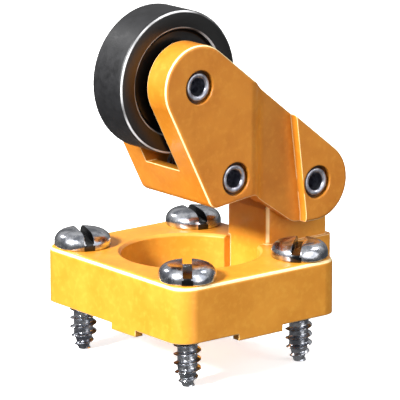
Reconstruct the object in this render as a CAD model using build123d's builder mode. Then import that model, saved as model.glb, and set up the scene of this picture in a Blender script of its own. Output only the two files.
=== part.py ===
from build123d import *
import os
from math import acos, asin, atan2, cos, hypot, sin

# Operating head of a limit switch: a die-cast flange carries a post, and a forked lever
# with a guide roller turns on the post and pushes the switch plunger through the hole.
# Origin: centre of the plunger hole on the flange underside. +Z up, +X from the roller
# towards the post, Y along the pins. Millimetres.

# flange
flange_length = 31.0
flange_width = 34.8
flange_height = 8.7
corner_radius = 3.1
top_edge_radius = 0.8
hole_radius = 10.7
hole_chamfer = 0.4
notch_width = 8.0
screw_x = 10.9
screw_y = 13.0
screw_hole_radius = 2.35
lug_start = 13.0
lug_end = 24.2
lug_width = 11.0
tab_depth = 1.0
tab_thickness = 1.4

# post
post_width = 10.0
post_front = 11.2
post_back = 23.0
shoulder_height = 14.2
eye_radius = 4.8
stop_front = 18.6
stop_back = 20.6
stop_base = 20.0
stop_height = 24.6
pocket_start = 1.5
pocket_radius = 6.2
post_edge_radius = 0.8

# pin axes, as X and Z
roller_axis = (-5.0, 36.3)
press_axis = (2.0, 21.25)
pivot_axis = (18.2, 18.4)

# lever
lever_width = 17.2
fork_gap = 8.2
rear_gap = 11.0
rear_gap_start = 9.5
roller_end_radius = 6.4
pivot_end_radius = 6.1
lever_edge_radius = 0.5
waist_depth = 1.5
web_top = 22.8
top_web_start = 7.5
top_web_end = 18.45
top_web_drop = 2.54

# pins, bushes and rollers
pin_radius = 2.0
pin_bore = 1.4
lip_radius = 2.15
lip_height = 0.8
pin_end = 8.3
seat_radius = 2.6
seat_depth = 1.1
bush_bore = 2.05
bush_radius = 3.0
guide_radius = 11.0
guide_half = 3.5
press_radius = 3.7
press_half = 3.3

# return spring
wire_radius = 0.35
coil_radius = 3.6
coil_pitch = 0.8
coil_turns = 3
coil_start = 2.1
lower_leg = 4.9
upper_leg = 7.7

# tapping screws
head_radius = 4.4
head_height = 2.6
head_side = 1.3
crown_radius = 2.7
slot_width = 1.4
slot_depth = 1.4
crest_radius = 2.1
root_radius = 1.55
thread_pitch = 1.4
thread_count = 5
screws = {
    "screw_front": (-screw_x, -screw_y, 52),
    "screw_right": (screw_x, -screw_y, 43),
    "screw_left": (-screw_x, screw_y, 68),
    "screw_back": (screw_x, screw_y, 73),
}


def touch_point(start, centre, radius, side):
    # where a line from start touches a circle, on its left (1) or right (-1)
    distance = hypot(centre[0] - start[0], centre[1] - start[1])
    heading = atan2(centre[1] - start[1], centre[0] - start[0])
    heading = heading + side * asin(radius / distance)
    reach = (distance**2 - radius**2) ** 0.5
    return (start[0] + reach * cos(heading), start[1] + reach * sin(heading))


def make_turned(label, centre, profile):
    # a piece turned about a pin axis, from (radius, Y) points
    shifted = [(centre[0] + radius, y) for radius, y in profile]
    with BuildPart() as turned:
        with BuildSketch(Plane.XY.offset(centre[1])):
            with BuildLine():
                Polyline(*shifted, close=True)
            make_face()
        revolve(axis=Axis((centre[0], 0, centre[1]), (0, 1, 0)))
    turned.part.label = label
    return turned.part


def make_ring(label, centre, inner, outer, low, high):
    return make_turned(label, centre, [(inner, low), (outer, low), (outer, high), (inner, high)])


def make_pin(label, centre):
    # tubular pin with a rolled lip at each end
    shank_end = pin_end - lip_height
    half = [(pin_radius, shank_end), (lip_radius, shank_end), (lip_radius, pin_end - 0.15)]
    half += [(lip_radius - 0.15, pin_end), (pin_bore + 0.15, pin_end), (pin_bore, pin_end - 0.15)]
    other_half = [(radius, -y) for radius, y in reversed(half)]
    return make_turned(label, centre, half + other_half)


def make_screw(label, x, y, slot_angle):
    # slotted pan-head tapping screw with ring-like thread crests
    top = flange_height + head_height
    side_top = flange_height + head_side
    thread = [(head_radius, side_top), (head_radius, flange_height), (crest_radius, flange_height)]
    level = -0.6
    for turn in range(thread_count):
        shrink = 0.32 * max(0, turn - 3)
        thread.append((root_radius - shrink * 0.6, level))
        thread.append((root_radius - shrink * 0.6, level - 0.5))
        thread.append((crest_radius - shrink, level - 1.15))
        thread.append((crest_radius - shrink, level - 1.25))
        level -= thread_pitch
    thread.append((0.6, level - 0.2))
    thread.append((0, level - 0.2))
    thread.append((0, top))
    with BuildPart() as screw:
        with BuildSketch(Plane(origin=(x, y, 0), x_dir=(1, 0, 0), z_dir=(0, -1, 0))):
            with BuildLine():
                Line((0, top), (crown_radius, top))
                ThreePointArc((crown_radius, top), (3.95, top - 0.42), (head_radius, side_top))
                Polyline(*thread)
            make_face()
        revolve(axis=Axis((x, y, 0), (0, 0, 1)))
        with BuildSketch(Plane(origin=(x, y, top))):
            Rectangle(2 * head_radius + 1, slot_width, rotation=slot_angle)
        extrude(amount=-slot_depth, mode=Mode.SUBTRACT)
    screw.part.label = label
    return screw.part


# Flange with its post, one casting
with BuildPart() as base:
    with BuildSketch():
        RectangleRounded(flange_length, flange_width, corner_radius)
    extrude(amount=flange_height)
    fillet(base.faces().sort_by(Axis.Z)[-1].edges(), top_edge_radius)
    with BuildSketch(Plane.XZ):
        with BuildLine():
            Polyline(
                (0, 0),
                (hole_radius, 0),
                (hole_radius, flange_height - hole_chamfer),
                (hole_radius + hole_chamfer, flange_height),
                (0, flange_height),
                close=True,
            )
        make_face()
    revolve(axis=Axis.Z, mode=Mode.SUBTRACT)
    with BuildSketch():
        with GridLocations(2 * screw_x, 2 * screw_y, 2, 2):
            Circle(screw_hole_radius)
    extrude(amount=flange_height, mode=Mode.SUBTRACT)
    with BuildSketch():
        with Locations(((lug_start + lug_end) / 2, 0)):
            RectangleRounded(lug_end - lug_start, lug_width, 1.2)
    extrude(amount=flange_height)
    with BuildSketch(Plane.XZ):
        with BuildLine():
            eye_touch = touch_point((post_front, shoulder_height), pivot_axis, eye_radius, 1)
            Polyline(
                (post_front, 0),
                (post_front, shoulder_height),
                eye_touch,
                pivot_axis,
                (post_back, pivot_axis[1]),
                (post_back, 0),
                close=True,
            )
        make_face()
        with Locations(pivot_axis):
            Circle(eye_radius)
    extrude(amount=post_width / 2, both=True)
    with BuildSketch():
        with Locations((post_front - 2, 0)):
            Rectangle(4, notch_width)
    extrude(amount=flange_height, mode=Mode.SUBTRACT)
    with BuildSketch(Plane.XZ.offset(-pocket_start)):
        with Locations(((stop_front + stop_back) / 2, (stop_base + stop_height) / 2)):
            Rectangle(stop_back - stop_front, stop_height - stop_base)
    extrude(amount=pocket_start + post_width / 2)
    with BuildSketch(Plane.XZ.offset(-pocket_start)):
        with Locations(pivot_axis):
            Circle(pocket_radius)
    extrude(amount=-post_width / 2, mode=Mode.SUBTRACT)
    with BuildSketch(Plane.XZ):
        with Locations(pivot_axis):
            Circle(bush_radius)
    extrude(amount=post_width, both=True, mode=Mode.SUBTRACT)
    front_edges = base.edges().filter_by(Axis.Z).filter_by_position(
        Axis.X, post_front - 0.01, post_front + 0.01
    )
    fillet(front_edges.filter_by(lambda edge: abs(edge.center().Y) > 4.5), post_edge_radius)
    with BuildSketch():
        with Locations(((tab_thickness - flange_length) / 2, -3.25)):
            Rectangle(tab_thickness, 5.9)
        with Locations((-0.25, (tab_thickness - flange_width) / 2)):
            Rectangle(8.5, tab_thickness)
        with Locations((-0.25, (flange_width - tab_thickness) / 2)):
            Rectangle(8.5, tab_thickness)
    extrude(amount=-tab_depth)
base.part.label = "base_flange"

# Lever: seen along the pins, two round ends joined by a straight top
cheek = lever_width / 2
axis_span = hypot(pivot_axis[0] - roller_axis[0], pivot_axis[1] - roller_axis[1])
axis_heading = atan2(pivot_axis[1] - roller_axis[1], pivot_axis[0] - roller_axis[0])
top_heading = axis_heading + acos((roller_end_radius - pivot_end_radius) / axis_span)
roller_top = (
    roller_axis[0] + roller_end_radius * cos(top_heading),
    roller_axis[1] + roller_end_radius * sin(top_heading),
)
pivot_top = (
    pivot_axis[0] + pivot_end_radius * cos(top_heading),
    pivot_axis[1] + pivot_end_radius * sin(top_heading),
)
top_slope = (pivot_top[1] - roller_top[1]) / (pivot_top[0] - roller_top[0])
front_corner = (-2.44, 17.05)
front_touch = touch_point(front_corner, roller_axis, roller_end_radius, 1)
lever_bottom = pivot_axis[1] - pivot_end_radius


def web_underside(x):
    return roller_top[1] + top_slope * (x - roller_top[0]) - top_web_drop


# The hollow across the outside of each cheek: a soft ramp, a flat floor and a sharp step
with BuildPart() as waist:
    with BuildSketch():
        with BuildLine():
            Line((5.0, cheek), (5.0, cheek + 1))
            Line((5.0, cheek + 1), (16, cheek + 1))
            Line((16, cheek + 1), (16, cheek - waist_depth))
            Line((16, cheek - waist_depth), (8.7, cheek - waist_depth))
            Spline((8.7, cheek - waist_depth), (5.0, cheek), tangents=[(-1, 0), (-1, 0)])
        make_face()
    extrude(amount=50)
    with BuildSketch(Plane.XZ):
        with BuildLine():
            Polyline((0, 0), (17.74, 0), (11.34, 50), (0, 50), close=True)
        make_face()
    extrude(amount=20, both=True, mode=Mode.INTERSECT)
    mirror(about=Plane.XZ)

with BuildPart() as lever:
    with BuildSketch(Plane.XZ):
        with BuildLine():
            FilletPolyline(
                front_touch,
                front_corner,
                (6.2, 18.1),
                (14.6, lever_bottom),
                (pivot_axis[0], lever_bottom),
                radius=(1.8, 2.0, 3.0),
            )
            ThreePointArc(
                (pivot_axis[0], lever_bottom),
                (pivot_axis[0] + pivot_end_radius, pivot_axis[1]),
                pivot_top,
            )
            Line(pivot_top, roller_top)
            ThreePointArc(
                roller_top,
                (roller_axis[0] - 0.6 * roller_end_radius, roller_axis[1] + 0.8 * roller_end_radius),
                front_touch,
            )
        make_face()
    extrude(amount=cheek, both=True)
    outer_faces = lever.faces().filter_by(Axis.Y)
    fillet(outer_faces.edges(), lever_edge_radius)
    add(waist.part, mode=Mode.SUBTRACT)
    with BuildSketch(Plane.XZ):
        with BuildLine():
            Polyline(
                (-20, web_top),
                (-3.3, web_top),
                (0.09, 16),
                (0.09, 8),
                (32, 8),
                (32, 45),
                (top_web_end, 45),
                (top_web_end, web_underside(top_web_end)),
                (top_web_start, web_underside(top_web_start)),
                (top_web_start, 45),
                (-20, 45),
                close=True,
            )
        make_face()
    extrude(amount=fork_gap / 2, both=True, mode=Mode.SUBTRACT)
    with BuildSketch(Plane.XZ):
        with BuildLine():
            Polyline(
                (rear_gap_start, 8),
                (32, 8),
                (32, 45),
                (top_web_end, 45),
                (top_web_end, web_underside(top_web_end)),
                (rear_gap_start, web_underside(rear_gap_start)),
                close=True,
            )
        make_face()
    extrude(amount=rear_gap / 2, both=True, mode=Mode.SUBTRACT)
    with BuildSketch(Plane.XZ):
        with Locations(roller_axis, press_axis, pivot_axis):
            Circle(pin_radius)
    extrude(amount=cheek, both=True, mode=Mode.SUBTRACT)
    for seat_plane in (Plane.XZ.offset(cheek), Plane.XZ.offset(seat_depth - cheek)):
        with BuildSketch(seat_plane):
            with Locations(roller_axis, press_axis, pivot_axis):
                Circle(seat_radius)
        extrude(amount=-seat_depth, mode=Mode.SUBTRACT)
lever.part.label = "lever_fork"

# Half of the guide roller's section: hub, shallow side recess, rim and tread
guide_side = [
    (bush_radius, guide_half),
    (5.0, guide_half),
    (5.25, guide_half - 0.7),
    (7.8, guide_half - 0.7),
    (8.2, guide_half),
    (guide_radius - 0.5, guide_half),
    (guide_radius - 0.15, guide_half - 0.15),
    (guide_radius, guide_half - 0.5),
]
guide_profile = guide_side + [(radius, -y) for radius, y in reversed(guide_side)]
press_profile = [
    (bush_bore, -press_half),
    (press_radius - 0.3, -press_half),
    (press_radius, -press_half + 0.3),
    (press_radius, press_half - 0.3),
    (press_radius - 0.3, press_half),
    (bush_bore, press_half),
]

# Return spring, wound along Z at the origin and then laid in the post's pocket
with BuildPart() as spring:
    with BuildLine() as spring_path:
        coil = Helix(coil_pitch, coil_pitch * coil_turns, coil_radius)
        Line(coil @ 0 - (coil % 0) * lower_leg, coil @ 0)
        Line(coil @ 1, coil @ 1 + (coil % 1) * upper_leg)
    wire_path = spring_path.wires()[0]
    with BuildSketch(Plane(origin=wire_path @ 0, z_dir=wire_path % 0)):
        Circle(wire_radius)
    sweep(path=wire_path)
spring_place = Plane(
    origin=(pivot_axis[0], coil_start, pivot_axis[1]), x_dir=(-1, 0, 0), z_dir=(0, 1, 0)
)
return_spring = spring.part.moved(spring_place.location)
return_spring.label = "return_spring"

pieces = [
    base.part,
    lever.part,
    return_spring,
    make_pin("roller_pin", roller_axis),
    make_pin("press_pin", press_axis),
    make_pin("pivot_pin", pivot_axis),
    make_turned("guide_roller", roller_axis, guide_profile),
    make_ring("roller_bush", roller_axis, bush_bore, bush_radius, -guide_half, guide_half),
    make_turned("press_roller", press_axis, press_profile),
    make_ring("pivot_bush", pivot_axis, bush_bore, bush_radius, -post_width / 2, post_width / 2),
]
for name, centre, outer, low, high in (
    ("roller_washer", roller_axis, 4.0, 3.6, fork_gap / 2),
    ("press_washer", press_axis, 3.4, 3.4, fork_gap / 2),
    ("pivot_washer", pivot_axis, 4.4, 5.1, rear_gap / 2),
):
    pieces.append(make_ring(name + "_near", centre, pin_radius, outer, -high, -low))
    pieces.append(make_ring(name + "_far", centre, pin_radius, outer, low, high))
for name, (x, y, slot_angle) in screws.items():
    pieces.append(make_screw(name, x, y, slot_angle))

os.makedirs("parts", exist_ok=True)
for piece in pieces:
    export_step(piece, "parts/" + piece.label + ".step")
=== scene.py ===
import math

import bmesh
import bpy
from mathutils import Matrix, Vector


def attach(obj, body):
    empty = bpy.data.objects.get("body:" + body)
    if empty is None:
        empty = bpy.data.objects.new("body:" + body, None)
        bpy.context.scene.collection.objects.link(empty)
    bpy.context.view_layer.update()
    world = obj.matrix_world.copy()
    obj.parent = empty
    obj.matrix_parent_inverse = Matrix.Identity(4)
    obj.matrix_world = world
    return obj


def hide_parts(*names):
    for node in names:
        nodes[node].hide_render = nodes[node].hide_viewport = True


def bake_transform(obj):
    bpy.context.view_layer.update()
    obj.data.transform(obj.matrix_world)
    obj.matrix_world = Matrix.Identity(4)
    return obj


mm = 0.001
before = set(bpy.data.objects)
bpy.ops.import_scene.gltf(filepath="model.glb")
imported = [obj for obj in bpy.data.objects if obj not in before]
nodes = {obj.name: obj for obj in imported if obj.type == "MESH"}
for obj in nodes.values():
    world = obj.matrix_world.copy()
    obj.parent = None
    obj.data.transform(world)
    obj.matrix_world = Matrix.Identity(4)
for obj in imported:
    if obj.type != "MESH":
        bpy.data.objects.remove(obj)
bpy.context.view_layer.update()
scene = bpy.context.scene
print("frame loaded:", len(nodes), "nodes")

# the pins lie along Y: x and z of each, in mm
pinLines = {"roller": (-5.0, 36.3), "press": (2.0, 21.25), "pivot": (18.2, 18.4)}


def toLinear(hexColour):
    channels = [int(hexColour[i:i + 2], 16) / 255 for i in (1, 3, 5)]
    linear = [c / 12.92 if c <= 0.04045 else ((c + 0.055) / 1.055) ** 2.4 for c in channels]
    return (*linear, 1.0)


def addNode(tree, kind, settings=None, inputs=None):
    # settings are the node's own choices; an input is a socket to link, a hex colour or a value
    node = tree.nodes.new(kind)
    for name, value in (settings or {}).items():
        setattr(node, name, value)
    for name, value in (inputs or {}).items():
        if isinstance(value, bpy.types.NodeSocket):
            tree.links.new(value, node.inputs[name])
        elif isinstance(value, str) and value.startswith("#"):
            node.inputs[name].default_value = toLinear(value)
        else:
            node.inputs[name].default_value = value
    return node


def startMaterial(name, shaderValues=None):
    material = bpy.data.materials.new(name)
    material.use_nodes = True
    tree = material.node_tree
    tree.nodes.clear()
    shader = addNode(tree, "ShaderNodeBsdfPrincipled", None, shaderValues)
    addNode(tree, "ShaderNodeOutputMaterial", None, {"Surface": shader.outputs[0]})
    place = addNode(tree, "ShaderNodeTexCoord").outputs["Object"]
    return material, tree, shader, place


def absoluteParts(tree, vector):
    positive = addNode(tree, "ShaderNodeVectorMath", {"operation": "ABSOLUTE"}, {0: vector}).outputs[0]
    return addNode(tree, "ShaderNodeSeparateXYZ", None, {0: positive}).outputs


def bandMask(tree, source, low, high, soft):
    # 1 between low and high, falling to 0 over soft on each side
    rise = addNode(tree, "ShaderNodeMapRange", None, {
        "Value": source, "From Min": low - soft, "From Max": low}).outputs[0]
    fall = addNode(tree, "ShaderNodeMapRange", None, {
        "Value": source, "From Min": high + soft, "From Max": high}).outputs[0]
    return addNode(tree, "ShaderNodeMath", {"operation": "MULTIPLY"}, {0: rise, 1: fall}).outputs[0]


def pinDistance(tree, place, line):
    # distance in mm from a pin line
    shifted = addNode(tree, "ShaderNodeVectorMath", {"operation": "SUBTRACT"}, {
        0: place, 1: (line[0] * mm, 0, line[1] * mm)}).outputs[0]
    flat = addNode(tree, "ShaderNodeVectorMath", {"operation": "MULTIPLY"}, {
        0: shifted, 1: (1 / mm, 0, 1 / mm)}).outputs[0]
    return addNode(tree, "ShaderNodeVectorMath", {"operation": "LENGTH"}, {0: flat}).outputs["Value"]


# finishes
# the edge colour is a painted cream highlight for the rounded edges
enamel = {
    # the dark brown colour is painted shade for the pin seats
    "edge": "#FFE9AE", "seatShade": "#1C0F05", "roundingMm": 0.3, "mottleMm": 5.0, "fleckMm": 0.9,
    "peelMm": 0.5, "roughness": 0.45, "coat": 0.3, "coatRoughness": 0.14,
}
flangeLook = {
    **enamel, "deep": "#D68A22", "bright": "#E2972B", "fleck": "#EBAA3C", "seats": (),
    "edgeAxis": 2, "edgeFrom": 7.85, "edgeTo": 8.8, "edgeStrength": 0.9, "clearOfHole": 11.3,
    "post": (11.3, 11.75, 4.4, 4.9),  # from and to, in x and y
}
leverLook = {
    **enamel, "deep": "#C4761A", "bright": "#D08322", "fleck": "#DC9632", "seats": pinLines.values(),
    "edgeAxis": 1, "edgeFrom": 8.08, "edgeTo": 8.7, "edgeStrength": 0.95, "clearOfHole": 0.0,
    "post": None,
}


def findEdgeHighlights(tree, place, softNormal, look):
    # 1 where a cream highlight is painted: on arrises, round the rolled edge and up the post's front edges
    normal = addNode(tree, "ShaderNodeNewGeometry").outputs["Normal"]
    facing = addNode(tree, "ShaderNodeVectorMath", {"operation": "DOT_PRODUCT"}, {
        0: softNormal, 1: normal}).outputs["Value"]
    arris = addNode(tree, "ShaderNodeMapRange", None, {
        "Value": facing, "From Min": 0.985, "From Max": 0.85, "To Max": 0.75}).outputs[0]
    lean = absoluteParts(tree, normal)
    reach = absoluteParts(tree, place)
    axis = look["edgeAxis"]
    tilted = bandMask(tree, lean[axis], 0.36, 0.76, 0.07)
    outer = bandMask(tree, reach[axis], look["edgeFrom"] * mm, look["edgeTo"] * mm, 0.1 * mm)
    rolled = addNode(tree, "ShaderNodeMath", {"operation": "MULTIPLY"}, {0: tilted, 1: outer}).outputs[0]
    rolled = addNode(tree, "ShaderNodeMath", {"operation": "MULTIPLY"}, {
        0: rolled, 1: look["edgeStrength"]}).outputs[0]
    edgeHighlight = addNode(tree, "ShaderNodeMath", {"operation": "MAXIMUM"}, {0: arris, 1: rolled}).outputs[0]

    ground = addNode(tree, "ShaderNodeVectorMath", {"operation": "MULTIPLY"}, {
        0: place, 1: (1 / mm, 1 / mm, 0)}).outputs[0]
    fromHole = addNode(tree, "ShaderNodeVectorMath", {"operation": "LENGTH"}, {0: ground}).outputs["Value"]
    outside = addNode(tree, "ShaderNodeMapRange", None, {
        "Value": fromHole, "From Min": look["clearOfHole"], "From Max": look["clearOfHole"] + 0.2,
        "To Min": 0.08}).outputs[0]  # only a faint painted highlight on the chamfer round the hole
    edgeHighlight = addNode(tree, "ShaderNodeMath", {"operation": "MULTIPLY"}, {0: edgeHighlight, 1: outside}).outputs[0]
    if look["post"]:  # painted highlight up the two upright front edges of the post, above the flange
        fromX, toX, fromY, toY = look["post"]
        inX = bandMask(tree, reach[0], fromX * mm, toX * mm, 0.05 * mm)
        inY = bandMask(tree, reach[1], fromY * mm, toY * mm, 0.05 * mm)
        upright = addNode(tree, "ShaderNodeMath", {"operation": "MULTIPLY"}, {0: inX, 1: inY}).outputs[0]
        raised = addNode(tree, "ShaderNodeMapRange", None, {
            "Value": reach[2], "From Min": 8.8 * mm, "From Max": 9.2 * mm}).outputs[0]
        upright = addNode(tree, "ShaderNodeMath", {"operation": "MULTIPLY"}, {
            0: upright, 1: raised}).outputs[0]
        edgeHighlight = addNode(tree, "ShaderNodeMath", {"operation": "MAXIMUM"}, {
            0: edgeHighlight, 1: upright}).outputs[0]
    for line in look["seats"]:  # no painted highlight round the pin seats
        beyond = addNode(tree, "ShaderNodeMapRange", None, {
            "Value": pinDistance(tree, place, line), "From Min": 2.95, "From Max": 3.05}).outputs[0]
        edgeHighlight = addNode(tree, "ShaderNodeMath", {"operation": "MULTIPLY"}, {
            0: edgeHighlight, 1: beyond}).outputs[0]
    return edgeHighlight


def makeCastEnamel(name, look):
    # stoved enamel on a zinc die casting: warm orange-yellow with a faint orange-peel skin, a cream
    # highlight painted along the rounded edges, painted shade in the lever's pin seats, and a thin gloss on
    # top
    material, tree, shader, place = startMaterial(name, {
        "Coat Weight": look["coat"], "Coat Roughness": look["coatRoughness"]})
    mottle = addNode(tree, "ShaderNodeTexNoise", None, {
        "Vector": place, "Scale": 1 / (look["mottleMm"] * mm), "Detail": 4.0}).outputs[0]
    depth = addNode(tree, "ShaderNodeMapRange", None, {
        "Value": mottle, "From Min": 0.35, "From Max": 0.65}).outputs[0]
    colour = addNode(tree, "ShaderNodeMix", {"data_type": "RGBA"}, {
        0: depth, 6: look["deep"], 7: look["bright"]}).outputs[2]
    grit = addNode(tree, "ShaderNodeTexNoise", None, {
        "Vector": place, "Scale": 1 / (look["fleckMm"] * mm), "Detail": 2.0}).outputs[0]
    fleck = addNode(tree, "ShaderNodeMapRange", None, {
        "Value": grit, "From Min": 0.5, "From Max": 0.75, "To Max": 0.4}).outputs[0]
    colour = addNode(tree, "ShaderNodeMix", {"data_type": "RGBA"}, {
        0: fleck, 6: colour, 7: look["fleck"]}).outputs[2]

    softNormal = addNode(tree, "ShaderNodeBevel", {"samples": 8}, {
        "Radius": look["roundingMm"] * mm}).outputs[0]
    # the cream highlight painted along the edges
    edgeHighlight = findEdgeHighlights(tree, place, softNormal, look)
    colour = addNode(tree, "ShaderNodeMix", {"data_type": "RGBA"}, {
        0: edgeHighlight, 6: colour, 7: look["edge"]}).outputs[2]
    for line in look["seats"]:  # painted shade darkens the seat round each pin
        fromPin = pinDistance(tree, place, line)
        seat = addNode(tree, "ShaderNodeMapRange", None, {
            "Value": fromPin, "From Min": 2.64, "From Max": 2.52, "To Max": 0.92}).outputs[0]
        colour = addNode(tree, "ShaderNodeMix", {"data_type": "RGBA"}, {
            0: seat, 6: colour, 7: look["seatShade"]}).outputs[2]
    tree.links.new(colour, shader.inputs["Base Color"])

    rough = addNode(tree, "ShaderNodeMapRange", None, {
        "Value": mottle, "From Min": 0.3, "From Max": 0.7,
        "To Min": look["roughness"] - 0.05, "To Max": look["roughness"] + 0.07}).outputs[0]
    tree.links.new(rough, shader.inputs["Roughness"])
    peel = addNode(tree, "ShaderNodeTexNoise", None, {
        "Vector": place, "Scale": 1 / (look["peelMm"] * mm), "Detail": 2.0}).outputs[0]
    skin = addNode(tree, "ShaderNodeBump", None, {
        "Strength": 0.25, "Distance": 0.04 * mm, "Height": peel, "Normal": softNormal}).outputs[0]
    tree.links.new(skin, shader.inputs["Normal"])
    return material


# the pale grey colour is a painted highlight for the roller's sides
nylonLook = {
    "black": "#0A0A0B", "scuffed": "#18181A", "paintedGlint": "#E4E4E6",
    "wearMm": 1.6, "glintBreakMm": 6.0, "skinMm": 0.3,
    "radiusMm": 11.0, "rimInnerMm": 8.25, "halfMm": 3.5,
}


def makeRollerNylon(look):
    # moulded black polyamide: a soft dark sheen, a tread scuffed grey by running on cams,
    # and pale painted highlights round the corners of its sides
    material, tree, shader, place = startMaterial("moulded_black_polyamide", {"IOR": 1.53})
    radius = pinDistance(tree, place, pinLines["roller"])
    across = absoluteParts(tree, place)[1]
    wear = addNode(tree, "ShaderNodeTexNoise", None, {
        "Vector": place, "Scale": 1 / (look["wearMm"] * mm), "Detail": 5.0, "Roughness": 0.65}).outputs[0]
    patchy = addNode(tree, "ShaderNodeMapRange", None, {
        "Value": wear, "From Min": 0.3, "From Max": 0.62, "To Min": 0.35}).outputs[0]
    tread = addNode(tree, "ShaderNodeMapRange", None, {
        "Value": radius, "From Min": look["radiusMm"] - 0.35, "From Max": look["radiusMm"] - 0.08}).outputs[0]
    worn = addNode(tree, "ShaderNodeMath", {"operation": "MULTIPLY"}, {0: tread, 1: patchy}).outputs[0]
    colour = addNode(tree, "ShaderNodeMix", {"data_type": "RGBA"}, {
        0: worn, 6: look["black"], 7: look["scuffed"]}).outputs[2]
    atSide = bandMask(tree, across, (look["halfMm"] - 0.42) * mm, (look["halfMm"] + 0.1) * mm, 0.08 * mm)
    glintBreak = addNode(tree, "ShaderNodeTexNoise", None, {
        "Vector": place, "Scale": 1 / (look["glintBreakMm"] * mm), "Detail": 1.0}).outputs[0]
    # painted highlights: pale rings at the rim's corner and the recess's edge, on the sides only, broken up
    # by noise
    for ringFrom, ringTo, strength in (
            (look["radiusMm"] - 0.36, look["radiusMm"] - 0.16, 0.85),
            (look["rimInnerMm"] - 0.1, look["rimInnerMm"] + 0.1, 0.6)):
        ring = bandMask(tree, radius, ringFrom, ringTo, 0.05)
        glintRing = addNode(tree, "ShaderNodeMath", {"operation": "MULTIPLY"}, {0: ring, 1: atSide}).outputs[0]
        broken = addNode(tree, "ShaderNodeMapRange", None, {
            "Value": glintBreak, "From Min": 0.4, "From Max": 0.55, "To Min": 0.1, "To Max": strength}).outputs[0]
        glintRing = addNode(tree, "ShaderNodeMath", {"operation": "MULTIPLY"}, {0: glintRing, 1: broken}).outputs[0]
        colour = addNode(tree, "ShaderNodeMix", {"data_type": "RGBA"}, {
            0: glintRing, 6: colour, 7: look["paintedGlint"]}).outputs[2]
    tree.links.new(colour, shader.inputs["Base Color"])
    rough = addNode(tree, "ShaderNodeMapRange", None, {
        "Value": worn, "To Min": 0.3, "To Max": 0.55}).outputs[0]
    tree.links.new(rough, shader.inputs["Roughness"])
    skin = addNode(tree, "ShaderNodeTexNoise", None, {
        "Vector": place, "Scale": 1 / (look["skinMm"] * mm), "Detail": 2.0}).outputs[0]
    bump = addNode(tree, "ShaderNodeBump", None, {
        "Strength": 0.3, "Distance": 0.04 * mm, "Height": skin}).outputs[0]
    tree.links.new(bump, shader.inputs["Normal"])
    return material


def makeSteel(name, look):
    # bare or plated steel: grey, with fine marks left by the tool that made it, and
    # painted shade, nearly black, in tight corners, bores and screw slots
    material, tree, shader, place = startMaterial(name)
    cloud = addNode(tree, "ShaderNodeTexNoise", None, {
        "Vector": place, "Scale": 1 / (look["cloudMm"] * mm), "Detail": 4.0}).outputs[0]
    patch = addNode(tree, "ShaderNodeMapRange", None, {
        "Value": cloud, "From Min": 0.4, "From Max": 0.6}).outputs[0]
    colour = addNode(tree, "ShaderNodeMix", {"data_type": "RGBA"}, {
        0: patch, 6: look["dark"], 7: look["light"]}).outputs[2]
    # painted shade: nearly black and not metallic in tight corners, thread roots and bores, and on the faces
    # marked in the screw slots
    openness = addNode(tree, "ShaderNodeAmbientOcclusion", {"samples": 8, "only_local": True}, {
        "Distance": look["shadeReachMm"] * mm}).outputs["AO"]
    paintedShade = addNode(tree, "ShaderNodeMapRange", None, {
        "Value": openness, "From Min": look["shadeFrom"], "From Max": look["shadeFrom"] - 0.3,
        "To Max": 0.96}).outputs[0]
    oil = addNode(tree, "ShaderNodeAttribute", {"attribute_name": "oil"}).outputs["Fac"]
    paintedShade = addNode(tree, "ShaderNodeMath", {"operation": "MAXIMUM"}, {0: paintedShade, 1: oil}).outputs[0]
    colour = addNode(tree, "ShaderNodeMix", {"data_type": "RGBA"}, {
        0: paintedShade, 6: colour, 7: "#050506"}).outputs[2]
    tree.links.new(colour, shader.inputs["Base Color"])
    bare = addNode(tree, "ShaderNodeMapRange", None, {
        "Value": paintedShade, "To Min": 1.0, "To Max": 0.0}).outputs[0]
    tree.links.new(bare, shader.inputs["Metallic"])  # metal only where no painted shade covers it
    stretched = addNode(tree, "ShaderNodeMapping", None, {
        "Vector": place, "Scale": look["stretch"]}).outputs[0]
    marks = addNode(tree, "ShaderNodeTexNoise", None, {
        "Vector": stretched, "Scale": 1 / (look["markMm"] * mm), "Detail": 3.0}).outputs[0]
    rough = addNode(tree, "ShaderNodeMapRange", None, {
        "Value": marks, "From Min": 0.3, "From Max": 0.7,
        "To Min": look["roughness"] - 0.06, "To Max": look["roughness"] + 0.08}).outputs[0]
    tree.links.new(rough, shader.inputs["Roughness"])
    bump = addNode(tree, "ShaderNodeBump", None, {
        "Strength": look["bump"], "Distance": 0.02 * mm, "Height": marks}).outputs[0]
    tree.links.new(bump, shader.inputs["Normal"])
    return material


flangeEnamel = makeCastEnamel("stoved_enamel_on_flange_casting", flangeLook)
leverEnamel = makeCastEnamel("stoved_enamel_on_lever_casting", leverLook)
rollerNylon = makeRollerNylon(nylonLook)
# bright zinc plate on cold-headed steel: cool white metal with sharp light and dark patches
zincPlate = makeSteel("bright_zinc_plate_on_steel", {
    "dark": "#9CA0AA", "light": "#ECEEF4", "cloudMm": 1.8, "markMm": 0.35, "stretch": (1, 1, 1),
    "roughness": 0.2, "bump": 0.18, "shadeReachMm": 0.7, "shadeFrom": 0.6})
# drawn steel tube with rolled ends: greyer, with marks along its length
drawnTube = makeSteel("drawn_steel_tube", {
    "dark": "#A6A8B5", "light": "#DCDEE8", "cloudMm": 1.2, "markMm": 0.3, "stretch": (1, 0.2, 1),
    "roughness": 0.36, "bump": 0.15, "shadeReachMm": 2.0, "shadeFrom": 0.55})
# punched steel strip: dull and slightly dark, tumbled smooth
punchedStrip = makeSteel("punched_steel_strip", {
    "dark": "#7E8086", "light": "#A6A8AE", "cloudMm": 1.5, "markMm": 0.25, "stretch": (1, 1, 1),
    "roughness": 0.42, "bump": 0.2, "shadeReachMm": 0.5, "shadeFrom": 0.5})
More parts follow.
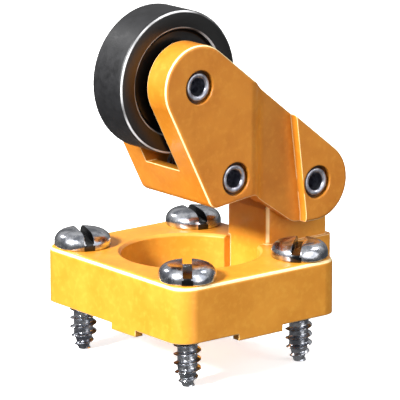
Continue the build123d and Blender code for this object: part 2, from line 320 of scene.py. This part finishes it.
# hardened and ground steel: dark, with grinding lines round it
groundSteel = makeSteel("hardened_ground_steel", {
    "dark": "#6F7177", "light": "#9A9CA3", "cloudMm": 2.0, "markMm": 0.2, "stretch": (0.15, 1, 0.15),
    "roughness": 0.26, "bump": 0.2, "shadeReachMm": 0.5, "shadeFrom": 0.5})
# drawn spring wire: nearly black oil-tempered skin with a soft shine
springWire = makeSteel("oil_tempered_spring_wire", {
    "dark": "#4A4A4F", "light": "#74757B", "cloudMm": 1.0, "markMm": 0.2, "stretch": (1, 1, 1),
    "roughness": 0.36, "bump": 0.15, "shadeReachMm": 0.4, "shadeFrom": 0.5})
# sintered bronze: brown-gold, open-grained and oily
sinteredBronze = makeSteel("sintered_bronze", {
    "dark": "#7A5426", "light": "#A9793C", "cloudMm": 0.7, "markMm": 0.15, "stretch": (1, 1, 1),
    "roughness": 0.48, "bump": 0.4, "shadeReachMm": 0.5, "shadeFrom": 0.5})
print("finishes made")

finishByNode = {
    "base_flange": flangeEnamel, "lever_fork": leverEnamel,
    "roller_bush": sinteredBronze, "pivot_bush": sinteredBronze,
    "press_roller": groundSteel,
    "roller_washer_near": punchedStrip, "roller_washer_far": punchedStrip,
    "press_washer_near": punchedStrip, "press_washer_far": punchedStrip,
    "pivot_washer_near": punchedStrip, "pivot_washer_far": punchedStrip,
}
for nodeName, finish in finishByNode.items():
    for slot in nodes[nodeName].material_slots:
        slot.material = finish
print("castings and small parts finished:", len(finishByNode))


# making and cleaning meshes
def arcPoints(centre, radius, startDegrees, endDegrees, count):
    step = (endDegrees - startDegrees) / count
    angles = [math.radians(startDegrees + step * i) for i in range(count + 1)]
    return [(centre[0] + radius * math.cos(a), centre[1] + radius * math.sin(a)) for a in angles]


def turnProfile(name, profile, around):
    # a closed (radius, height) outline in mm turned round Z; points on the axis become poles
    mesh = bpy.data.meshes.new(name)
    shape = bmesh.new()
    spokes = [2 * math.pi * i / around for i in range(around)]
    rings = []
    for radius, height in profile:
        angles = spokes if radius > 0 else [0]
        rings.append([shape.verts.new((radius * mm * math.cos(a), radius * mm * math.sin(a), height * mm))
                      for a in angles])
    for lower, upper in zip(rings, rings[1:] + rings[:1]):
        if len(lower) + len(upper) == 2:
            continue
        for i in range(around):
            j = (i + 1) % around
            corners = [lower[i % len(lower)], lower[j % len(lower)]]
            corners += [upper[j % len(upper)], upper[i % len(upper)]]
            shape.faces.new(list(dict.fromkeys(corners)))
    bmesh.ops.recalc_face_normals(shape, faces=shape.faces)
    shape.to_mesh(mesh)
    shape.free()
    return mesh


def smoothBelow(mesh, degrees):
    mesh.shade_smooth()
    mesh.set_sharp_from_angle(angle=math.radians(degrees))


def addPiece(name, mesh, finish=None):
    if finish is not None:
        mesh.materials.clear()
        mesh.materials.append(finish)
    piece = bpy.data.objects.new(name, mesh)
    scene.collection.objects.link(piece)
    return piece


def plainMesh(source, name):
    # the evaluated object as a plain mesh, with nothing live left on it
    bpy.context.view_layer.update()
    evaluated = source.evaluated_get(bpy.context.evaluated_depsgraph_get())
    mesh = bpy.data.meshes.new_from_object(evaluated)
    mesh.name = name
    return mesh


def pointMesh(name, places, turns):
    # one loose vertex for each copy, with the degrees that it turns about Z
    mesh = bpy.data.meshes.new(name)
    mesh.from_pydata([tuple(c * mm for c in place) for place in places], [], [])
    turn = mesh.attributes.new("turn", "FLOAT", "POINT")
    turn.data.foreach_set("value", [math.radians(t) for t in turns])
    return mesh


def newTree(name, inputs):
    tree = bpy.data.node_groups.new(name, "GeometryNodeTree")
    tree.interface.new_socket("Geometry", in_out="INPUT", socket_type="NodeSocketGeometry")
    for label, kind in inputs.items():
        tree.interface.new_socket(label, in_out="INPUT", socket_type="NodeSocket" + kind)
    tree.interface.new_socket("Geometry", in_out="OUTPUT", socket_type="NodeSocketGeometry")
    return tree, addNode(tree, "NodeGroupInput").outputs


def placeCopies(tree, given, shape):
    # a copy of shape on each vertex, turned by its turn, made real and given its finish
    turn = addNode(tree, "GeometryNodeInputNamedAttribute", {"data_type": "FLOAT"}, {
        "Name": "turn"}).outputs[0]
    spin = addNode(tree, "ShaderNodeCombineXYZ", None, {"Z": turn}).outputs[0]
    copies = addNode(tree, "GeometryNodeInstanceOnPoints", None, {
        "Points": given["Geometry"], "Instance": shape, "Rotation": spin}).outputs[0]
    real = addNode(tree, "GeometryNodeRealizeInstances", None, {"Geometry": copies}).outputs[0]
    finished = addNode(tree, "GeometryNodeSetMaterial", None, {
        "Geometry": real, "Material": given["Finish"]}).outputs[0]
    addNode(tree, "NodeGroupOutput", None, {"Geometry": finished})


def runTree(host, tree, values):
    modifier = host.modifiers.new(tree.name, "NODES")
    modifier.node_group = tree
    sockets = [item for item in tree.interface.items_tree if item.in_out == "INPUT"]
    identifiers = {item.name: item.identifier for item in sockets}
    for label, value in values.items():
        modifier[identifiers[label]] = value


# guide roller
guideRoller = {"bore": 3.0, "hub": 5.0, "recessEnd": 7.9, "rimStart": 8.25, "radius": 11.0, "half": 3.5,
               "recess": 0.7, "edge": 0.5}


def makeGuideRoller(size):
    half, edge = size["half"], size["edge"]
    floor = half - size["recess"]
    side = [(size["bore"], half)]
    side += arcPoints((size["hub"] - 0.2, half - 0.2), 0.2, 90, 0, 4)
    side += arcPoints((size["hub"] + 0.35, floor + 0.35), 0.35, 180, 270, 4)
    side += arcPoints((size["recessEnd"] - 0.35, floor + 0.35), 0.35, 270, 340, 4)
    side += arcPoints((size["rimStart"] + 0.12, half - 0.15), 0.15, 160, 90, 4)
    side += arcPoints((size["radius"] - edge, half - edge), edge, 90, 0, 8)
    mesh = turnProfile("guideRoller", side + [(r, -h) for r, h in reversed(side)], 128)
    x, z = pinLines["roller"]
    mesh.transform(Matrix.Translation((x * mm, 0, z * mm)) @ Matrix.Rotation(math.radians(90), 4, "X"))
    smoothBelow(mesh, 38)
    return addPiece("guideRoller", mesh, rollerNylon)


roller = makeGuideRoller(guideRoller)
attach(roller, "guide_wheel")
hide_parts("guide_roller")
print("guide roller turned")

# tapping screws
tappingScrew = {
    "seatHeight": 8.7, "spreadX": 10.9, "spreadY": 13.0, "headRadius": 4.4, "headHeight": 2.6,
    "slotWidth": 1.4, "slotDepth": 1.4, "crest": 2.1, "root": 1.5, "pitch": 1.4, "tip": -7.8,
    "threadTop": -0.6, "pointLength": 2.6, "pointScale": 0.52,
    "crown": ((0, 0), (1.4, 0.01), (2.4, 0.05), (3.0, 0.16), (3.45, 0.34), (3.85, 0.62), (4.12, 0.94),
              (4.3, 1.3)),  # radius, and how far below the top
    "rimDrop": 1.7, "lipWidth": 0.12,
    "turns": {"front": 52, "right": 43, "left": 68, "back": 73},  # degrees that each slot is turned
}


def makeScrewHead(size):
    # pan head: an upright rim, a round shoulder and a nearly flat top, with a straight slot
    radius, height, depth = size["headRadius"], size["headHeight"], size["slotDepth"]
    crown = size["crown"]
    top = [(r, height - drop) for r, drop in crown] + [(radius, height - size["rimDrop"])]
    profile = top + [(radius, 0.22), (radius - 0.08, 0.08), (radius - 0.22, 0), (0, 0)]
    head = addPiece("screwHead", turnProfile("screwHead", profile, 96))
    cutter = bpy.data.meshes.new("slotCutter")
    shape = bmesh.new()
    bmesh.ops.create_cube(shape, size=1)
    shape.to_mesh(cutter)
    shape.free()
    cutter.transform(Matrix.Translation((0, 0, (height - depth / 2 + 0.5) * mm)) @ Matrix.Diagonal(
        (2.4 * radius * mm, size["slotWidth"] * mm, (depth + 1.0) * mm, 1)))
    blade = addPiece("slotCutter", cutter)
    cut = head.modifiers.new("slot", "BOOLEAN")
    cut.object = blade
    cut.operation = "DIFFERENCE"
    cut.solver = "EXACT"
    lips = head.modifiers.new("lips", "BEVEL")
    lips.width = size["lipWidth"] * mm
    lips.segments = 2
    lips.limit_method = "ANGLE"
    lips.angle_limit = math.radians(50)
    mesh = plainMesh(head, "slottedHead")
    for temporary in (head, blade):
        bpy.data.objects.remove(temporary)
    return addPiece("slottedHead", mesh)


def makeThread(tree, given):
    # a smooth blank whose radius rises to a crest along a helix and shrinks towards the tip
    length = addNode(tree, "ShaderNodeMath", {"operation": "SUBTRACT"}, {
        0: given["Shank Top"], 1: given["Tip"]}).outputs[0]
    blank = addNode(tree, "GeometryNodeMeshCylinder", None, {
        "Vertices": 40, "Side Segments": 190, "Radius": 1.0, "Depth": length}).outputs["Mesh"]
    ends = addNode(tree, "ShaderNodeMath", {"operation": "ADD"}, {
        0: given["Shank Top"], 1: given["Tip"]}).outputs[0]
    middle = addNode(tree, "ShaderNodeMath", {"operation": "MULTIPLY"}, {0: ends, 1: 0.5}).outputs[0]
    drop = addNode(tree, "ShaderNodeCombineXYZ", None, {"Z": middle}).outputs[0]
    blank = addNode(tree, "GeometryNodeTransform", None, {"Geometry": blank, "Translation": drop}).outputs[0]
    place = addNode(tree, "GeometryNodeInputPosition").outputs[0]
    x, y, z = addNode(tree, "ShaderNodeSeparateXYZ", None, {0: place}).outputs
    angle = addNode(tree, "ShaderNodeMath", {"operation": "ARCTAN2"}, {0: y, 1: x}).outputs[0]
    turns = addNode(tree, "ShaderNodeMath", {"operation": "DIVIDE"}, {0: angle, 1: 2 * math.pi}).outputs[0]
    level = addNode(tree, "ShaderNodeMath", {"operation": "DIVIDE"}, {0: z, 1: given["Pitch"]}).outputs[0]
    lead = addNode(tree, "ShaderNodeMath", {"operation": "SUBTRACT"}, {0: level, 1: turns}).outputs[0]
    phase = addNode(tree, "ShaderNodeMath", {"operation": "FRACT"}, {0: lead}).outputs[0]
    offset = addNode(tree, "ShaderNodeMath", {"operation": "SUBTRACT"}, {0: phase, 1: 0.5}).outputs[0]
    away = addNode(tree, "ShaderNodeMath", {"operation": "ABSOLUTE"}, {0: offset}).outputs[0]
    flank = addNode(tree, "ShaderNodeMapRange", None, {
        "Value": away, "From Min": 0.03, "From Max": 0.25,
        "To Min": given["Crest Radius"], "To Max": given["Root Radius"]}).outputs[0]
    inThread = addNode(tree, "ShaderNodeMath", {"operation": "LESS_THAN"}, {
        0: z, 1: given["Thread Top"]}).outputs[0]
    radius = addNode(tree, "ShaderNodeMix", None, {
        0: inThread, 2: given["Crest Radius"], 3: flank}).outputs[0]
    pointEnd = addNode(tree, "ShaderNodeMath", {"operation": "ADD"}, {
        0: given["Tip"], 1: given["Point Length"]}).outputs[0]
    taper = addNode(tree, "ShaderNodeMapRange", None, {
        "Value": z, "From Min": given["Tip"], "From Max": pointEnd,
        "To Min": given["Point Scale"]}).outputs[0]
    radius = addNode(tree, "ShaderNodeMath", {"operation": "MULTIPLY"}, {0: radius, 1: taper}).outputs[0]
    swell = addNode(tree, "ShaderNodeCombineXYZ", None, {"X": radius, "Y": radius, "Z": 1.0}).outputs[0]
    moved = addNode(tree, "ShaderNodeVectorMath", {"operation": "MULTIPLY"}, {0: place, 1: swell}).outputs[0]
    return addNode(tree, "GeometryNodeSetPosition", None, {"Geometry": blank, "Position": moved}).outputs[0]


def makeScrews(size):
    head = makeScrewHead(size)
    tree, given = newTree("threadedScrews", {
        "Head": "Object", "Crest Radius": "Float", "Root Radius": "Float", "Pitch": "Float",
        "Shank Top": "Float", "Thread Top": "Float", "Tip": "Float", "Point Length": "Float",
        "Point Scale": "Float", "Slot Shade Reach": "Float", "Finish": "Material"})
    whole = addNode(tree, "GeometryNodeJoinGeometry")
    tree.links.new(makeThread(tree, given), whole.inputs[0])
    headShape = addNode(tree, "GeometryNodeObjectInfo", None, {"Object": given["Head"]}).outputs["Geometry"]
    # painted shade: the head's faces in the slot are marked to be drawn nearly black
    across = absoluteParts(tree, addNode(tree, "GeometryNodeInputPosition").outputs[0])[1]
    inSlot = addNode(tree, "ShaderNodeMath", {"operation": "LESS_THAN"}, {
        0: across, 1: given["Slot Shade Reach"]}).outputs[0]
    slotShaded = addNode(tree, "GeometryNodeStoreNamedAttribute", {"data_type": "FLOAT", "domain": "FACE"}, {
        "Geometry": headShape, "Name": "oil", "Value": inSlot}).outputs[0]
    tree.links.new(slotShaded, whole.inputs[0])
    placeCopies(tree, given, whole.outputs[0])

    x, y, seat = size["spreadX"], size["spreadY"], size["seatHeight"]
    places = {"front": (-x, -y, seat), "right": (x, -y, seat), "left": (-x, y, seat), "back": (x, y, seat)}
    turns = [size["turns"][corner] for corner in places]
    host = addPiece("screwPoints", pointMesh("screwPoints", places.values(), turns))
    runTree(host, tree, {
        "Head": head, "Crest Radius": size["crest"] * mm, "Root Radius": size["root"] * mm,
        "Pitch": size["pitch"] * mm, "Shank Top": 0.05 * mm,
        "Thread Top": (size["threadTop"] - seat) * mm, "Tip": (size["tip"] - seat) * mm,
        "Point Length": size["pointLength"] * mm, "Point Scale": size["pointScale"],
        "Slot Shade Reach": (size["slotWidth"] / 2 + 0.02) * mm, "Finish": zincPlate})
    mesh = plainMesh(host, "tappingScrews")
    for temporary in (host, head):
        bpy.data.objects.remove(temporary)
    smoothBelow(mesh, 32)
    return addPiece("tappingScrews", mesh, zincPlate)


screws = makeScrews(tappingScrew)
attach(screws, "base")
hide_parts("screw_front", "screw_right", "screw_left", "screw_back")
print("screws threaded and slotted")

# tubular pins
tubePin = {"shank": 2.0, "bore": 1.4, "lip": 2.15, "end": 8.3, "lipHeight": 0.8}


def makePins(size):
    # one tube with both ends rolled over, copied on to the three pin lines
    end, lip, bore = size["end"], size["lip"], size["bore"]
    half = [(size["shank"], end - size["lipHeight"]), (lip - 0.06, end - size["lipHeight"] + 0.02)]
    half += arcPoints((lip - 0.24, end - 0.24), 0.24, 0, 90, 6)
    half += arcPoints((bore + 0.34, end - 0.34), 0.34, 90, 180, 7)
    mesh = turnProfile("tubePin", half + [(r, -h) for r, h in reversed(half)], 64)
    mesh.transform(Matrix.Rotation(math.radians(90), 4, "X"))
    pin = addPiece("tubePin", mesh)
    tree, given = newTree("pinCopies", {"Pin": "Object", "Finish": "Material"})
    shape = addNode(tree, "GeometryNodeObjectInfo", None, {"Object": given["Pin"]}).outputs["Geometry"]
    placeCopies(tree, given, shape)
    places = [(x, 0, z) for x, z in pinLines.values()]
    host = addPiece("pinPoints", pointMesh("pinPoints", places, [0] * len(places)))
    runTree(host, tree, {"Pin": pin, "Finish": drawnTube})
    copies = plainMesh(host, "rolledPins")
    for temporary in (host, pin):
        bpy.data.objects.remove(temporary)
    smoothBelow(copies, 50)
    return addPiece("rolledPins", copies, drawnTube)


pins = makePins(tubePin)
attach(pins, "lever")
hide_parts("roller_pin", "press_pin", "pivot_pin")
print("pins placed")

# return spring
returnSpring = {"coilRadius": 3.6, "wireRadius": 0.34, "pitch": 0.8, "turns": 3, "start": 2.1,
                "lowerLeg": 4.9, "upperLeg": 7.6, "stepsPerTurn": 32, "holdBelow": -1.5, "holdAbove": 2.5}


def makeSpring(size):
    # wound round the pivot line, with both legs upright on the roller side
    x, z = pinLines["pivot"]
    front = x - size["coilRadius"]
    steps = size["turns"] * size["stepsPerTurn"]
    spots = []
    for i in range(steps + 1):
        angle = 2 * math.pi * i / size["stepsPerTurn"]
        along = size["start"] + size["pitch"] * i / size["stepsPerTurn"]
        across = x - size["coilRadius"] * math.cos(angle)
        spots.append((across, along, z + size["coilRadius"] * math.sin(angle)))
    spots.insert(0, (front, size["start"], z - size["lowerLeg"]))
    spots.append((front, spots[-1][1], z + size["upperLeg"]))
    wire = bpy.data.curves.new("springWire", "CURVE")
    wire.dimensions = "3D"
    wire.use_fill_caps = True
    wire.bevel_depth = size["wireRadius"] * mm
    wire.bevel_resolution = 3
    line = wire.splines.new("POLY")
    line.points.add(len(spots) - 1)
    for point, spot in zip(line.points, spots):
        point.co = (*(c * mm for c in spot), 1)
    coil = bpy.data.objects.new("springWire", wire)
    scene.collection.objects.link(coil)
    mesh = plainMesh(coil, "windingSpring")
    bpy.data.objects.remove(coil)
    smoothBelow(mesh, 60)
    return addPiece("windingSpring", mesh, springWire)


spring = makeSpring(returnSpring)
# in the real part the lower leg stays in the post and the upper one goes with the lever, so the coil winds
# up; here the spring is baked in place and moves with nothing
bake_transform(spring)
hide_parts("return_spring")
print("spring wound")

# studio: places and sizes in mm, power in watts
studio = {
    "cameraPlace": (-323.7, -408.1, 144.2), "aim": (3.86, 2.46, 15.61), "lens": 315.5, "sensor": 36,
    "lightAim": (4, 0, 16), "floorHeight": -7.85, "floorReach": 3000, "fibreSize": 30,
    "skyTop": 0.5, "skyBelow": 0.14, "tableGlow": 0.6,
    "lights": {  # place, width and power
        "keyLeft": ((-960, -120, 620), 240, 37.0),
        "frontFill": ((150, -1080, 300), 1400, 7.5),
        "edgeRight": ((700, -320, 900), 260, 3.0),
        "edgeBack": ((-320, 900, 720), 260, 2.0),
    },
}


def aimAt(thing, place, target):
    thing.location = Vector(place) * mm
    thing.rotation_euler = (Vector(target) - Vector(place)).to_track_quat("-Z", "Y").to_euler()


camera = bpy.data.objects.new("camera", bpy.data.cameras.new("camera"))
camera.data.lens = studio["lens"]
camera.data.sensor_width = studio["sensor"]
camera.data.clip_start = 0.01
camera.data.clip_end = 20
scene.collection.objects.link(camera)
aimAt(camera, studio["cameraPlace"], studio["aim"])
scene.camera = camera
for lightName, (place, size, power) in studio["lights"].items():
    light = bpy.data.objects.new(lightName, bpy.data.lights.new(lightName, "AREA"))
    light.data.shape = "DISK"
    light.data.size = size * mm
    light.data.energy = power
    scene.collection.objects.link(light)
    aimAt(light, place, studio["lightAim"])

# the room is light overhead and dim below, so undersides stay dark
world = bpy.data.worlds.new("softRoom")
world.use_nodes = True
sky = world.node_tree
direction = addNode(sky, "ShaderNodeTexCoord").outputs["Generated"]
height = addNode(sky, "ShaderNodeSeparateXYZ", None, {0: direction}).outputs[2]
glow = addNode(sky, "ShaderNodeMapRange", None, {
    "Value": height, "From Min": 0.0, "From Max": 0.7,
    "To Min": studio["skyBelow"], "To Max": studio["skyTop"]}).outputs[0]
background = sky.nodes["Background"]
background.inputs[0].default_value = toLinear("#FFFFFF")
sky.links.new(glow, background.inputs[1])
scene.world = world
scene.view_settings.view_transform = "Standard"

# thin white paper over a light table: it keeps its shadows soft and its far end as white as the near one
paper, paperTree, paperShader, paperPlace = startMaterial("pale_studio_paper", {
    "Roughness": 0.9, "Emission Color": "#FFFFFF", "Emission Strength": studio["tableGlow"]})
fibres = addNode(paperTree, "ShaderNodeTexNoise", None, {
    "Vector": paperPlace, "Scale": 1 / (studio["fibreSize"] * mm), "Detail": 2.0}).outputs[0]
tone = addNode(paperTree, "ShaderNodeMix", {"data_type": "RGBA"}, {
    0: fibres, 6: "#F6F5F3", 7: "#FFFFFF"}).outputs[2]
paperTree.links.new(tone, paperShader.inputs["Base Color"])
floorMesh = bpy.data.meshes.new("floor")
farEdge = studio["floorReach"] * mm
floorHeight = studio["floorHeight"] * mm
floorCorners = [(x * farEdge, y * farEdge, floorHeight) for x, y in ((-1, -1), (1, -1), (1, 1), (-1, 1))]
floorMesh.from_pydata(floorCorners, [], [(0, 1, 2, 3)])
floor = addPiece("floor", floorMesh, paper)
floor.visible_diffuse = False  # the paper throws no light or reflection up under the casting
floor.visible_glossy = False
print("studio set")
